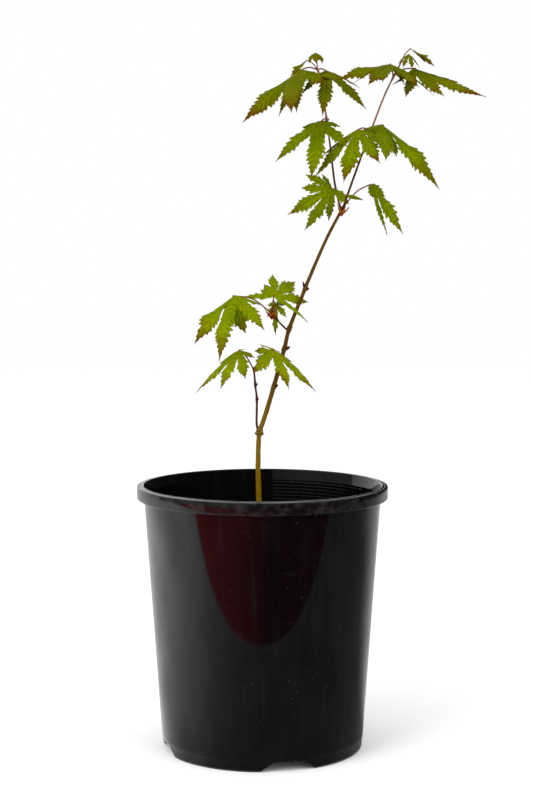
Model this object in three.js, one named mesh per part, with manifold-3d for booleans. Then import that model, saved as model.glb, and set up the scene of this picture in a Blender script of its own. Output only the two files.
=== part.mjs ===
// A young Japanese maple in a black nursery pot: one slender, leaning stem that forks near its
// top, two small side twigs, and pairs of drooping palmate leaves. Millimetres, +Z up. The
// origin is the centre of the pot's flat underside, and the plant is seen from -Y.
import * as THREE from 'three';
import { mergeVertices } from 'three/addons/utils/BufferGeometryUtils.js';
import Module from 'manifold-3d';

const wasm = await Module();
wasm.setup();

// ---------------------------------------------------------------- driving dimensions
const GAP = 0.3;                 // clearance kept between neighbouring solids
const MERGE = 0.04;              // needless corners closer than this are merged

const POT_HEIGHT = 212;
const RIM_RADIUS = 100;
const RIM_BAND = 10.5;           // height of the turned-down band
const LIP_RADIUS = 95.4;         // inner edge of the flat rim
const BODY_TOP_RADIUS = 94.3;    // outside of the wall, just under the rim
const FOOT_RADIUS = 80.3;
const WALL = 1.5;
const FOOT_BAND = 8.5;           // height of the slightly inset foot band
const FOOT_INSET = 0.4;
const FLOOR_DISC = 50;           // radius of the flat middle of the floor
const CHANNEL_HEIGHT = 8;        // the floor's raised outer ring
const NOTCH = { count: 4, first: 15, bottom: 46, top: 24, height: 8 };
const DRAIN = { count: 8, radius: 4.5, circle: 64 };
const POT_SIDES = 36;

const SOIL_LEVEL = 177;          // 35 mm below the rim
const SOIL_SIDES = 24;

const BLADE = 0.8;               // thickness of a leaf blade
const PETIOLE = 0.45;            // radius of a leaf stalk

// ---------------------------------------------------------------- materials
const material = (color, roughness) => new THREE.MeshStandardMaterial({ color, roughness, metalness: 0 });
const blackPlastic = material(0x101113, 0.28);
const pottingMix = material(0x3b2a1e, 0.95);
const oliveBark = material(0x6b4f12, 0.6);
const redBark = material(0x4a2626, 0.5);
const greenLeaf = material(0x74950c, 0.5);
const tintedLeaf = material(0x7d8a18, 0.5);

// ---------------------------------------------------------------- solids
const degrees = THREE.MathUtils.degToRad;
const point = ([x, y, z]) => new THREE.Vector3(x, y, z);

function toSolid(geometry) {
  const bare = geometry.index ? geometry.clone() : geometry;
  for (const name of ['normal', 'uv']) bare.deleteAttribute(name);
  const merged = mergeVertices(bare, 1e-4);
  return new wasm.Manifold(new wasm.Mesh({
    numProp: 3,
    vertProperties: new Float32Array(merged.attributes.position.array),
    triVerts: new Uint32Array(merged.index.array),
  }));
}

function toGeometry(solid) {
  const { numProp, vertProperties, triVerts } = solid.simplify(MERGE).getMesh();
  const positions = new Float32Array((vertProperties.length / numProp) * 3);
  for (let i = 0; i < positions.length / 3; i += 1) {
    for (let k = 0; k < 3; k += 1) positions[i * 3 + k] = vertProperties[i * numProp + k];
  }
  const geometry = new THREE.BufferGeometry();
  geometry.setAttribute('position', new THREE.BufferAttribute(positions, 3));
  geometry.setIndex(new THREE.BufferAttribute(new Uint32Array(triVerts), 1));
  geometry.computeVertexNormals();
  return geometry;
}

// A cut can leave a loose tip behind: only the largest piece is kept.
function largest(solid) {
  return solid.decompose().reduce((best, piece) => (piece.volume() > best.volume() ? piece : best));
}

// A profile of [radius, height] pairs, turned about +Z.
function lathe(profile, sides) {
  const points = profile.map(([radius, height]) => new THREE.Vector2(radius, height));
  return new THREE.LatheGeometry(points, sides).rotateX(Math.PI / 2);
}

// A tapering limb along a smooth curve. thickness(t) is its radius at t = 0 to 1.
function limb(curve, thickness, steps, sides) {
  const frames = curve.computeFrenetFrames(steps, false);
  const positions = [];
  const index = [];
  for (let i = 0; i <= steps; i += 1) {
    const centre = curve.getPointAt(i / steps);
    const radius = thickness(i / steps);
    for (let j = 0; j < sides; j += 1) {
      const turn = (2 * Math.PI * j) / sides;
      const spoke = frames.normals[i].clone().multiplyScalar(Math.cos(turn) * radius);
      spoke.addScaledVector(frames.binormals[i], Math.sin(turn) * radius).add(centre);
      positions.push(spoke.x, spoke.y, spoke.z);
    }
  }
  for (let i = 0; i < steps; i += 1) {
    for (let j = 0; j < sides; j += 1) {
      const a = i * sides + j;
      const b = i * sides + ((j + 1) % sides);
      index.push(a, b, b + sides, a, b + sides, a + sides);
    }
  }
  for (let j = 1; j < sides - 1; j += 1) {
    const last = steps * sides;
    index.push(0, j + 1, j, last, last + j, last + j + 1);
  }
  const geometry = new THREE.BufferGeometry();
  geometry.setAttribute('position', new THREE.Float32BufferAttribute(positions, 3));
  geometry.setIndex(index);
  return geometry;
}

// ---------------------------------------------------------------- pot and soil
const wallRadius = (height) =>
  FOOT_RADIUS + (BODY_TOP_RADIUS - FOOT_RADIUS) * (height / (POT_HEIGHT - RIM_BAND));

function potProfile() {
  const bandBottom = POT_HEIGHT - RIM_BAND;
  const floorTop = CHANNEL_HEIGHT + WALL;
  return [
    [0, 0],
    [FLOOR_DISC, 0],
    [FLOOR_DISC + 1.5, CHANNEL_HEIGHT],
    [wallRadius(0) - WALL - 2.2, CHANNEL_HEIGHT],
    [wallRadius(0) - WALL - FOOT_INSET, 0],
    [wallRadius(0) - FOOT_INSET - 0.8, 0],
    [wallRadius(1) - FOOT_INSET, 1],
    [wallRadius(FOOT_BAND) - FOOT_INSET, FOOT_BAND],
    [wallRadius(FOOT_BAND + 0.5), FOOT_BAND + 0.5],
    [wallRadius(bandBottom), bandBottom],
    [wallRadius(POT_HEIGHT - 2), POT_HEIGHT - 2],
    [RIM_RADIUS - WALL, POT_HEIGHT - 2],
    [RIM_RADIUS - WALL, bandBottom + 0.4],
    [RIM_RADIUS - WALL / 2, bandBottom],
    [RIM_RADIUS, bandBottom + 1],
    [RIM_RADIUS, POT_HEIGHT - 1.2],
    [RIM_RADIUS - 0.8, POT_HEIGHT - 0.4],
    [LIP_RADIUS + 0.9, POT_HEIGHT - 0.4],
    [LIP_RADIUS, POT_HEIGHT],
    [LIP_RADIUS - 0.8, POT_HEIGHT - 0.6],
    [wallRadius(POT_HEIGHT - 9) - WALL, POT_HEIGHT - 9],
    [wallRadius(floorTop) - WALL, floorTop],
    [FLOOR_DISC + 3, floorTop],
    [FLOOR_DISC + 1, WALL],
    [0, WALL],
  ];
}

// A trapezoid block through the foot, pointing outwards along +X before it is turned.
function notchCutter(angle) {
  const half = NOTCH.bottom / 2;
  const outline = new THREE.Shape([
    new THREE.Vector2(-half, -1),
    new THREE.Vector2(half, -1),
    new THREE.Vector2(NOTCH.top / 2, NOTCH.height),
    new THREE.Vector2(-NOTCH.top / 2, NOTCH.height),
  ]);
  const depth = 14;
  const block = new THREE.ExtrudeGeometry(outline, { depth, bevelEnabled: false });
  block.rotateX(Math.PI / 2);
  block.translate(0, -FOOT_RADIUS + depth - 4, 0);
  return block.rotateZ(angle);
}

function drainCutter(angle) {
  const hole = new THREE.CylinderGeometry(DRAIN.radius, DRAIN.radius, 6, 8);
  hole.rotateX(Math.PI / 2);
  hole.translate(DRAIN.circle * Math.sin(angle), -DRAIN.circle * Math.cos(angle), CHANNEL_HEIGHT);
  return hole;
}

function potSolid() {
  let pot = toSolid(lathe(potProfile(), POT_SIDES));
  for (let i = 0; i < NOTCH.count; i += 1) {
    pot = pot.subtract(toSolid(notchCutter(degrees(NOTCH.first + (360 / NOTCH.count) * i))));
  }
  for (let i = 0; i < DRAIN.count; i += 1) {
    pot = pot.subtract(toSolid(drainCutter(degrees(NOTCH.first + (360 / DRAIN.count) * i))));
  }
  return pot;
}

function soilSolid() {
  const floorTop = CHANNEL_HEIGHT + WALL + GAP;
  // the many-sided wall is narrower between its corners, so the soil keeps a little more room
  const side = (height) => wallRadius(height) * Math.cos(Math.PI / POT_SIDES) - WALL - 2 * GAP;
  const profile = [
    [0, WALL + GAP],
    [FLOOR_DISC, WALL + GAP],
    [FLOOR_DISC + 2, floorTop],
    [side(floorTop), floorTop],
    [side(SOIL_LEVEL - 2), SOIL_LEVEL - 2],
    [side(SOIL_LEVEL) - 12, SOIL_LEVEL],
    [0, SOIL_LEVEL],
  ];
  return toSolid(lathe(profile, SOIL_SIDES));
}

// ---------------------------------------------------------------- stems
// Swellings where leaves or twigs leave a stem: [height, extra radius].
const bumps = (height, nodes) =>
  nodes.reduce((sum, [at, extra]) => sum + extra * Math.exp(-(((height - at) / 2.6) ** 2)), 0);

const STEMS = {
  trunk: {
    route: [
      [-2.4, 0, SOIL_LEVEL + GAP], [-2.9, 0, 200], [-3.5, 0, 228], [-2.6, 0.4, 252], [1.2, 0.8, 264],
      [9, 1.4, 290], [17.3, 1.8, 320], [21.2, 2, 336], [31.8, 2, 363], [37.2, 1.8, 376.5],
      [50.2, 1.4, 406.5], [62.4, 1, 430],
    ],
    from: 2.2, to: 1.15, steps: 30, sides: 7, flare: 0.5,
    nodes: [[254, 1.1], [290, 0.35], [320, 0.45], [336, 0.6], [368, 0.45]],
    bark: oliveBark,
  },
  left_shoot: {
    route: [
      [61.4, 0.6, 430.8], [59, 0, 441.7], [56.5, -0.6, 453.5], [52.6, -1.4, 484.7], [50.3, -1.6, 501],
      [46.3, -1, 527.5], [43.1, 0, 540],
    ],
    from: 0.85, to: 0.65, steps: 14, sides: 5, flare: 0.3,
    nodes: [[501, 0.35], [539, 0.35]],
    bark: redBark,
  },
  right_shoot: {
    route: [
      [63.5, 1, 430.8], [67, 1, 441.7], [77.4, 1.4, 470.7], [85, 1.6, 491], [95.2, 1.2, 518],
      [103, 0.6, 534.4], [107.7, 0, 543.3],
    ],
    from: 0.9, to: 0.65, steps: 14, sides: 5, flare: 0.3,
    nodes: [[491, 0.35], [534, 0.35]],
    bark: redBark,
  },
  low_twig: {
    route: [
      [-3.2, 0.3, 254], [-4.6, 0.2, 261], [-4.5, 0, 280], [-5.6, -0.6, 290], [-6.3, -1.4, 299],
      [-7.1, -2, 304.6],
    ],
    from: 0.95, to: 0.7, steps: 12, sides: 5, flare: 0,
    nodes: [[280, 0.35], [292, 0.4], [304, 0.2]],
    bark: redBark,
  },
  middle_twig: {
    route: [[20, 1.8, 335], [16.6, 0.8, 338], [11, -0.6, 344], [7.4, -1.4, 348.3]],
    from: 0.75, to: 0.7, steps: 6, sides: 5, flare: 0,
    nodes: [[348, 0.9]],
    bark: redBark,
  },
};

function stemSolid({ route, from, to, steps, sides, flare, nodes }, extra = 0) {
  const curve = new THREE.CatmullRomCurve3(route.map(point));
  const thickness = (t) => {
    const height = curve.getPointAt(t).z;
    const foot = flare * Math.exp(-t * 30);
    return THREE.MathUtils.lerp(from, to, t) + foot + bumps(height, nodes) + extra;
  };
  return toSolid(limb(curve, thickness, steps, sides));
}

// ---------------------------------------------------------------- leaves
// Seven pointed lobes, numbered -3 to 3 from one side of the stalk to the other.
const LOBES = [-3, -2, -1, 0, 1, 2, 3];
const YOUNG = 20;                // a leaf shorter than this still has only the middle five
const LOBE_ANGLE = [0, 42, 84, 128];
const LOBE_LENGTH = [1, 0.95, 0.78, 0.42];
const LOBE_WIDTH = 0.145;        // half the greatest width, over the lobe's length
const SINUS = 0.37;              // how far out two lobes part, over their mean length
// Half width of a lobe from its sinus (0) to its tip (1), over the greatest half width.
const LOBE_SHAPE = [[0.36, 1], [0.74, 0.5]];

// joint: where the stalk meets the blade. heading: the way the middle lobe points, seen from
// above, from +X to +Y. pitch: upwards. roll: about that direction. cone: how steeply the lobes
// droop at the joint, and bend: how much more at their tips. spread: opens or closes the fan.
// reach: a lobe's length over the usual one. hang: a lobe's own further droop.
const leaf = (
  stem, joint, [heading, pitch, roll], length, [cone, bend], spread, reach, leafMaterial, hang = {},
) => ({ stem, joint, heading, pitch, roll, length, cone, bend, spread, reach, leafMaterial, hang });

const LEAVES = {
  leaf_low_left: leaf([-7.1, -2, 304.4], [-18, -4, 319], [185, -24, -16], 45, [13, 16], 0.95,
    { '-3': 0.5, '-2': 0.5, '-1': 0.62, 0: 1.1, 1: 0.9, 2: 0.95, 3: 0.85 }, greenLeaf),
  leaf_low_right: leaf([-7, -2, 304.4], [8, -10, 320], [-12, -27, 10], 48, [9, 15], 1.05,
    { '-3': 0.8, '-2': 1.1, '-1': 0.95, 1: 0.5, 2: 0.5 }, tintedLeaf),
  leaf_middle_left: leaf([7.2, -1.4, 348.6], [-22, -15, 363], [249, -10, 12], 58, [23, 17], 1.1,
    { '-3': 1.3, '-2': 0.9, '-1': 0.93, 0: 1.3, 1: 0.95, 2: 0.5, 3: 0.5 }, tintedLeaf,
    { '-3': 62 }),
  leaf_middle_star: leaf([7.4, -1.4, 348.8], [9, -6, 362], [84, 46, 26], 54, [4, 17], 0.8,
    { '-3': 1.55, '-2': 0.85, '-1': 0.73, 0: 0.55, 1: 0.3, 2: 0.3, 3: 1.05 }, greenLeaf),
  leaf_middle_hanging: leaf([7.6, -1.2, 348.6], [10.5, 3, 356], [-112, -72, 14], 21, [5, 17], 1.05,
    { '-3': 0.6, '-2': 0.6, '-1': 0.7, 0: 1.2, 1: 0.75, 2: 0.6, 3: 0.6 }, greenLeaf),
  leaf_fork_left: leaf([61.6, -0.2, 432.5], [54, -10, 447], [208, -37, -88], 45, [31, 20], 0.88,
    { '-3': 0.82, '-2': 0.7, '-1': 0.58, 0: 0.95, 1: 1.05, 2: 1.03, 3: 1.3 }, greenLeaf),
  leaf_fork_right: leaf([64.6, 2, 433.5], [85.4, 4, 450], [-14, -50, 56], 46, [4, 14], 0.77,
    { '-3': 0.5, '-2': 0.45, '-1': 0.6, 0: 1.03, 1: 0.5, 2: 0.4, 3: 0.4 }, greenLeaf),
  leaf_left_middle: leaf([50.2, -1.6, 501], [45, -8, 498], [259, -34, 1], 48, [13, 16], 1.2,
    { '-3': 0.6, '-2': 0.45, '-1': 1.05, 0: 1.15, 1: 0.72, 2: 0.45, 3: 0.7 }, greenLeaf),
  leaf_right_middle_front: leaf([84.5, 1.4, 491], [74, -14, 492], [249, -22, 4], 50, [21, 17], 1,
    { '-1': 1.1, 0: 1.08, 1: 0.86, 2: 0.77 }, tintedLeaf),
  leaf_right_middle_back: leaf([84.7, 1.6, 491], [94, 6, 497], [8, -17, 2], 64, [21, 17], 1.05,
    { '-3': 0.73, '-2': 1.2, '-1': 1.1, 0: 1.1, 1: 0.65, 2: 0.7 }, greenLeaf),
  leaf_left_top_outer: leaf([43, 0, 539.5], [30, -5, 539], [204, -10, 8], 62, [22, 18], 1.2,
    { '-3': 0.8, '-2': 1.1, '-1': 0.65, 0: 1.06, 1: 1.15, 2: 0.67 }, tintedLeaf),
  leaf_left_top_inner: leaf([43.2, 0, 539.5], [50, 4, 539], [-46, -10, 11], 52, [21, 15], 1.1,
    { '-2': 0.75, '-1': 1.14, 1: 0.62, 2: 0.6, 3: 0.7 }, greenLeaf),
  leaf_right_top_front: leaf([102.5, 0.4, 534.4], [100, -6, 543], [255, 9, -6], 54, [19, 19], 1.2,
    { '-2': 0.8, '-1': 0.95, 0: 1.2, 1: 0.9 }, tintedLeaf),
  leaf_right_top_back: leaf([102.6, 0.6, 534.4], [119, 6, 541], [-23, 2, 13], 56, [28, -8], 1,
    { '-2': 0.95, '-1': 0.9, 0: 1.13, 1: 0.8 }, tintedLeaf),
  leaf_left_tip_cap: leaf([43.1, 0, 540], [41.4, -3, 551], [-90, 0, 0], 12, [48, 35], 1,
    {}, greenLeaf),
  leaf_left_tip_fold: leaf([43, 0.2, 540], [34.5, 4, 547], [195, -28, 0], 18, [8, 16], 0.4,
    {}, greenLeaf),
  leaf_right_tip_fold: leaf([107.5, 0.2, 543.2], [116, 3, 556], [-4, -18, 0], 19.5, [16, 16], 0.82,
    { '-2': 0.8, '-1': 1, 0: 1.23, 1: 1, 2: 0.8 }, tintedLeaf),
  leaf_right_tip_cap: leaf([107.5, -0.2, 543.2], [114.2, -4, 551], [-70, -12, 0], 15, [32, 25], 1.1,
    {}, greenLeaf),
};

// The leaf's own directions: f along the middle lobe, l to its left and u up out of the blade.
function leafFrame({ heading, pitch, roll }) {
  const [h, p, r] = [heading, pitch, roll].map(degrees);
  const f = new THREE.Vector3(Math.cos(h) * Math.cos(p), Math.sin(h) * Math.cos(p), Math.sin(p));
  const level = new THREE.Vector3(-Math.sin(h), Math.cos(h), 0);
  const upright = new THREE.Vector3().crossVectors(f, level);
  const l = level.clone().multiplyScalar(Math.cos(r)).addScaledVector(upright, Math.sin(r));
  const u = upright.multiplyScalar(Math.cos(r)).addScaledVector(level, -Math.sin(r));
  return { f, l, u };
}

// One lobe: place(s, v) is the point s along its midrib (0 to 1) and v mm to its left.
function lobe(spec, frame, number) {
  const angle = degrees(Math.sign(number) * LOBE_ANGLE[Math.abs(number)] * spec.spread);
  const length = spec.length * LOBE_LENGTH[Math.abs(number)] * (spec.reach[number] ?? 1);
  const along = frame.f.clone().multiplyScalar(Math.cos(angle)).addScaledVector(frame.l, Math.sin(angle));
  const across = frame.l.clone().multiplyScalar(Math.cos(angle)).addScaledVector(frame.f, -Math.sin(angle));
  const cone = degrees(spec.cone + (spec.hang[number] ?? 0));
  const bend = degrees(spec.bend);
  const place = (s, v) => {
    const out = (length * (Math.sin(cone + bend * s) - Math.sin(cone))) / bend;
    const down = (length * (Math.cos(cone) - Math.cos(cone + bend * s))) / bend;
    return point(spec.joint).addScaledVector(along, out).addScaledVector(frame.u, -down)
      .addScaledVector(across, v);
  };
  const normal = (s) => frame.u.clone().multiplyScalar(Math.cos(cone + bend * s))
    .addScaledVector(along, Math.sin(cone + bend * s));
  return { number, angle, length, place, normal };
}

// Where lobe a's side towards lobe b starts: along its midrib, and out to the side.
function sinusOf(a, b) {
  const half = b ? Math.abs(b.angle - a.angle) / 2 : degrees(28);
  const radius = b ? (SINUS * (a.length + b.length)) / 2 : 0.12 * a.length;
  return { s: Math.min((radius * Math.cos(half)) / a.length, 0.55), v: radius * Math.sin(half) };
}

// A thin closed blade: both faces of a sheet of triangles, with walls round its edge.
function thicken(vertices, normals, triangles, thickness) {
  const count = vertices.length;
  const positions = [];
  for (const side of [0.5, -0.5]) {
    vertices.forEach((vertex, i) => {
      const moved = vertex.clone().addScaledVector(normals[i], side * thickness);
      positions.push(moved.x, moved.y, moved.z);
    });
  }
  const edges = new Set(triangles.flatMap(([a, b, c]) => [`${a}>${b}`, `${b}>${c}`, `${c}>${a}`]));
  const index = triangles.flatMap(([a, b, c]) => [a, b, c, c + count, b + count, a + count]);
  for (const edge of edges) {
    const [a, b] = edge.split('>').map(Number);
    if (!edges.has(`${b}>${a}`)) index.push(a, a + count, b + count, a, b + count, b);
  }
  const geometry = new THREE.BufferGeometry();
  geometry.setAttribute('position', new THREE.Float32BufferAttribute(positions, 3));
  geometry.setIndex(index);
  return geometry;
}

function bladeSolid(spec, extra = 0) {
  const frame = leafFrame(spec);
  const numbers = spec.length < YOUNG ? LOBES.slice(1, -1) : LOBES;
  const lobes = numbers.map((number) => lobe(spec, frame, number));
  const vertices = [point(spec.joint)];
  const normals = [frame.u.clone()];
  const triangles = [];
  const add = (vertex, normal) => {
    vertices.push(vertex);
    normals.push(normal);
    return vertices.length - 1;
  };
  // the shared points where neighbouring lobes part
  const sinuses = [];
  for (let i = 0; i <= lobes.length; i += 1) {
    const [right, left] = [lobes[i - 1], lobes[i]];
    const sides = [];
    if (right) sides.push([right, sinusOf(right, left), 1]);
    if (left) sides.push([left, sinusOf(left, right), -1]);
    const places = sides.map(([owner, { s, v }, side]) => owner.place(s, side * v));
    const tilts = sides.map(([owner, { s }]) => owner.normal(s));
    const vertex = places.reduce((sum, p) => sum.add(p), new THREE.Vector3()).divideScalar(sides.length);
    const normal = tilts.reduce((sum, n) => sum.add(n), new THREE.Vector3()).normalize();
    sinuses.push(add(vertex, normal));
  }
  lobes.forEach((current, i) => {
    const tip = add(current.place(1, 0), current.normal(1));
    const neighbours = [[1, lobes[i + 1], sinuses[i + 1]], [-1, lobes[i - 1], sinuses[i]]];
    const base = Math.min(...neighbours.map(([, next]) => sinusOf(current, next).s));
    const stations = LOBE_SHAPE.map(([t, width]) => [base + (1 - base) * t, width]);
    const spine = [base, ...stations.map(([s]) => s)].map((s) => add(current.place(s, 0), current.normal(s)));
    for (const [side, next, sinus] of neighbours) {
      const widest = Math.max(LOBE_WIDTH * current.length, sinusOf(current, next).v * 1.02);
      const edge = [sinus, ...stations.map(([s, width]) =>
        add(current.place(s, side * (widest * width + extra)), current.normal(s)))];
      const face = (a, b, c) => triangles.push(side > 0 ? [a, b, c] : [a, c, b]);
      face(0, spine[0], edge[0]);
      for (let k = 0; k < spine.length - 1; k += 1) {
        face(spine[k], spine[k + 1], edge[k + 1]);
        face(spine[k], edge[k + 1], edge[k]);
      }
      face(spine[spine.length - 1], tip, edge[edge.length - 1]);
    }
  });
  return toSolid(thicken(vertices, normals, triangles, BLADE + 2 * extra));
}

// The stalk rises from the stem in a low arch and runs just into the blade.
function petioleSolid(spec, extra = 0) {
  const { f } = leafFrame(spec);
  const start = point(spec.stem);
  const joint = point(spec.joint);
  const rise = start.clone().lerp(joint, 0.5).add(new THREE.Vector3(0, 0, start.distanceTo(joint) * 0.12));
  const end = joint.clone().addScaledVector(f, 1.5);
  const curve = new THREE.CatmullRomCurve3([start, rise, joint, end]);
  return toSolid(limb(curve, () => PETIOLE + extra, 4, 4));
}

// ---------------------------------------------------------------- assembly
const group = new THREE.Group();

function addNode(name, solid, nodeMaterial) {
  const mesh = new THREE.Mesh(toGeometry(solid), nodeMaterial);
  mesh.name = name;
  group.add(mesh);
}

addNode('pot', potSolid(), blackPlastic);
addNode('soil', soilSolid(), pottingMix);

// Later stems, and then the leaves, are cut back from what is already there.
let standing = null;
for (const [name, spec] of Object.entries(STEMS)) {
  const whole = stemSolid(spec);
  addNode(name, standing ? largest(whole.subtract(standing)) : whole, spec.bark);
  const grown = stemSolid(spec, GAP);
  standing = standing ? standing.add(grown) : grown;
}
for (const [name, spec] of Object.entries(LEAVES)) {
  const whole = bladeSolid(spec).add(petioleSolid(spec));
  addNode(name, largest(whole.subtract(standing)), spec.leafMaterial);
  standing = standing.add(bladeSolid(spec, GAP)).add(petioleSolid(spec, GAP));
}

export default group;
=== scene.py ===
import math

import bpy
import numpy as np
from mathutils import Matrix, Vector, noise


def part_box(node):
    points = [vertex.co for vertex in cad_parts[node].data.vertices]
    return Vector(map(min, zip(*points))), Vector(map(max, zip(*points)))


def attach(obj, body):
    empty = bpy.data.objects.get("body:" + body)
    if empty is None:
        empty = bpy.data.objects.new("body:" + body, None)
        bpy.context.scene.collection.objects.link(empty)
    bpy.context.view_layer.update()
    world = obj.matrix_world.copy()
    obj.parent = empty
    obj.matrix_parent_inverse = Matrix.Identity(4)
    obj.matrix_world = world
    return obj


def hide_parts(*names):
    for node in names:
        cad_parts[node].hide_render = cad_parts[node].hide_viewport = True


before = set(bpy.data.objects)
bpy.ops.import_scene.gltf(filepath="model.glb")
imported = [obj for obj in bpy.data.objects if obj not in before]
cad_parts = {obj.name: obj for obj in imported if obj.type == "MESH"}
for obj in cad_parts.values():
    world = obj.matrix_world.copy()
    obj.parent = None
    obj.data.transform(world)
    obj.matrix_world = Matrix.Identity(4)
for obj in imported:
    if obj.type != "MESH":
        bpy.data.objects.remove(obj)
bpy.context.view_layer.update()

MM = 0.001
RIM_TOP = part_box("pot")[1][2] / MM
RIM_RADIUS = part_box("pot")[1][0] / MM
SOIL_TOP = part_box("soil")[1][2] / MM
GREEN, TINTED = "green_leaf", "tinted_leaf"
SMOOTH_UP_TO = 50   # degrees between faces: a sharper edge stays sharp
bpy.ops.object.select_all(action="DESELECT")


# ------------------------------------------------------------------ camera
EYE = (0.0032, -1.478, 0.418)   # metres
EYE_TILT = 5.2                  # degrees below level
LENS, SENSOR = 85, 36


def camera():
    """Looks along +Y from a little above the rim, far enough for the plant and pot to fit."""
    bpy.ops.object.camera_add(location=EYE, rotation=(math.radians(90 - EYE_TILT), 0, 0))
    shot = bpy.context.object
    shot.data.lens = LENS
    shot.data.sensor_width = SENSOR
    bpy.context.scene.camera = shot
    bpy.context.scene.view_settings.view_transform = "Standard"


# ------------------------------------------------------------------ materials
class Wire:
    """A shader socket that arithmetic can be done on: each operation adds a Math node."""

    def __init__(self, paint, socket):
        self.paint, self.socket = paint, socket

    def math(self, operation, *values):
        return self.paint.node("Math", {"operation": operation}, dict(enumerate((self, *values))))

    def __add__(self, other):
        return self.math("ADD", other)

    def __sub__(self, other):
        return self.math("SUBTRACT", other)

    def __rsub__(self, other):
        return self.paint.node("Math", {"operation": "SUBTRACT"}, {0: other, 1: self})

    def __mul__(self, other):
        return self.math("MULTIPLY", other)

    def __abs__(self):
        return self.math("ABSOLUTE")

    __radd__, __rmul__ = __add__, __mul__

    def between(self, low, high):
        """0 below low, 1 above high, and a smooth step from one to the other."""
        settings = {"interpolation_type": "SMOOTHSTEP", "clamp": True}
        return self.paint.node("MapRange", settings, {"Value": self, "From Min": low, "From Max": high})


class Paint:
    """One material. What is the same all over is set on the Principled sockets by name."""

    def __init__(self, name, **principled):
        self.material = bpy.data.materials.new(name)
        self.material.use_nodes = True
        self.tree = self.material.node_tree
        self.shader = self.tree.nodes["Principled BSDF"]
        for socket, value in principled.items():
            self.shader.inputs[socket.replace("_", " ")].default_value = value

    def node(self, kind, settings=None, sockets=None, output=0):
        made = self.tree.nodes.new("ShaderNode" + kind)
        for key, value in (settings or {}).items():
            setattr(made, key, value)
        for key, value in (sockets or {}).items():
            self.feed(made.inputs[key], value)
        return Wire(self, made.outputs[output])

    def feed(self, socket, value):
        if isinstance(value, Wire):
            self.tree.links.new(value.socket, socket)
        else:
            socket.default_value = value

    def place(self):
        return self.node("TexCoord", output="Object")

    def axis(self, letter, vector=None):
        """One part, X, Y or Z, of a vector, or else of the place on the piece in metres."""
        return self.node("SeparateXYZ", sockets={0: vector or self.place()}, output=letter)

    def reach(self):
        """How far the place is from the upright axis, in metres."""
        x, y = self.axis("X"), self.axis("Y")
        return (x * x + y * y).math("SQRT")

    def uv(self, layer):
        return self.node("UVMap", {"uv_map": layer})

    def noise(self, scale, detail, stretch=None):
        vector = self.place()
        if stretch:
            vector = self.node("Mapping", sockets={"Vector": vector, "Scale": stretch})
        return self.node("TexNoise", sockets={"Vector": vector, "Scale": scale, "Detail": detail})

    def blend(self, factor, a, b):
        """Colour b over colour a by factor."""
        settings = {"data_type": "RGBA", "clamp_factor": True}
        return self.node("Mix", settings, {0: factor, 6: a, 7: b}, output=2)

    def bump(self, height, distance, strength):
        sockets = {"Height": height, "Distance": distance, "Strength": strength}
        return self.node("Bump", sockets=sockets)

    def show(self, shader):
        self.feed(self.tree.nodes["Material Output"].inputs["Surface"], shader)

    def set(self, **varying):
        for socket, value in varying.items():
            self.feed(self.shader.inputs[socket.replace("_", " ")], value)


def srgb(red, green, blue):
    """The linear colour that shaders take, from one as screens show it, 0 to 255."""
    shown = [v / 255 for v in (red, green, blue)]
    linear = [v / 12.92 if v <= 0.04 else ((v + 0.055) / 1.055) ** 2.4 for v in shown]
    return (*linear, 1.0)


def scaled(colour, *factors):
    """A colour times one factor, or times one each for its red, green and blue."""
    factors = factors * 3 if len(factors) == 1 else factors
    return [c * f for c, f in zip(colour, factors)] + [1.0]


SHINES_THROUGH = 0.24   # the share of a leaf's light that passes through it


def leaf_finish(name, leaf, vein, edge, redness, back=False):
    """Matt green with paler veins, red-brown on its teeth and tips, and painted shade in the furrow
    between side veins. LeafMap runs along a lobe in x, from its sinus (0) to its tip (1), and across it
    in y, from one edge to the other."""
    paint = Paint(name, Specular_IOR_Level=0.012)
    where = paint.uv("LeafMap")
    along = paint.axis("X", where)
    across = abs(paint.axis("Y", where) * 2 - 1)
    midrib = 1 - across.between(0.02, 0.075)
    # a side vein ends in each tooth: the whole number only keeps the fraction's input positive
    phase = (paint.axis("X", paint.uv("VeinMap")) + 21.5 - TOOTH_TIP).math("FRACT")
    side_vein = (1 - abs(phase - 0.5).between(0.0, 0.11)) * across.between(0.0, 0.2)
    patch = paint.noise(60, 3)
    fine = paint.noise(900, 2)
    # painted shade: a band between each pair of side veins, away from the midrib, is darkened as if the
    # pleat's furrow were shaded
    furrow_shade = (1 - abs(phase - 0.86).between(0.05, 0.3)) * across.between(0.05, 0.3)
    tone = paint.blend(patch.between(0.35, 0.7), leaf, scaled(leaf, 0.7, 0.8, 0.8))
    tone = paint.blend(fine.between(0.3, 0.8) * 0.25, tone, scaled(leaf, 1.3))
    tone = paint.blend(furrow_shade * 0.55, tone, scaled(leaf, 0.5))
    pale = (1 - along.between(-0.2, 0.1)) * 0.25
    tone = paint.blend(midrib * 0.7 + side_vein * 0.5 + pale, tone, vein)
    outer = across.between(0.5, 1.0) * along.between(0.1, 0.75) * 0.6 + along.between(0.5, 0.95) * 0.75
    tint = (outer * (0.3 + patch.between(0.25, 0.6)) * redness).math("MINIMUM", 1.0)
    paint.set(Base_Color=paint.blend(tint, tone, edge), Roughness=0.5 + fine * 0.2 + tint * 0.1)
    relief = midrib + side_vein * 0.7 + paint.noise(700, 3) * 0.5
    paint.set(Normal=paint.bump(relief if back else 1 - relief, 0.00022, 0.8))
    glow = paint.node("BsdfTranslucent", sockets={"Color": scaled(leaf, 1.5, 1.35, 0.6)})
    surface = Wire(paint, paint.shader.outputs[0])
    paint.show(paint.node("MixShader", sockets={0: SHINES_THROUGH, 1: surface, 2: glow}))
    return paint.material


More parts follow.
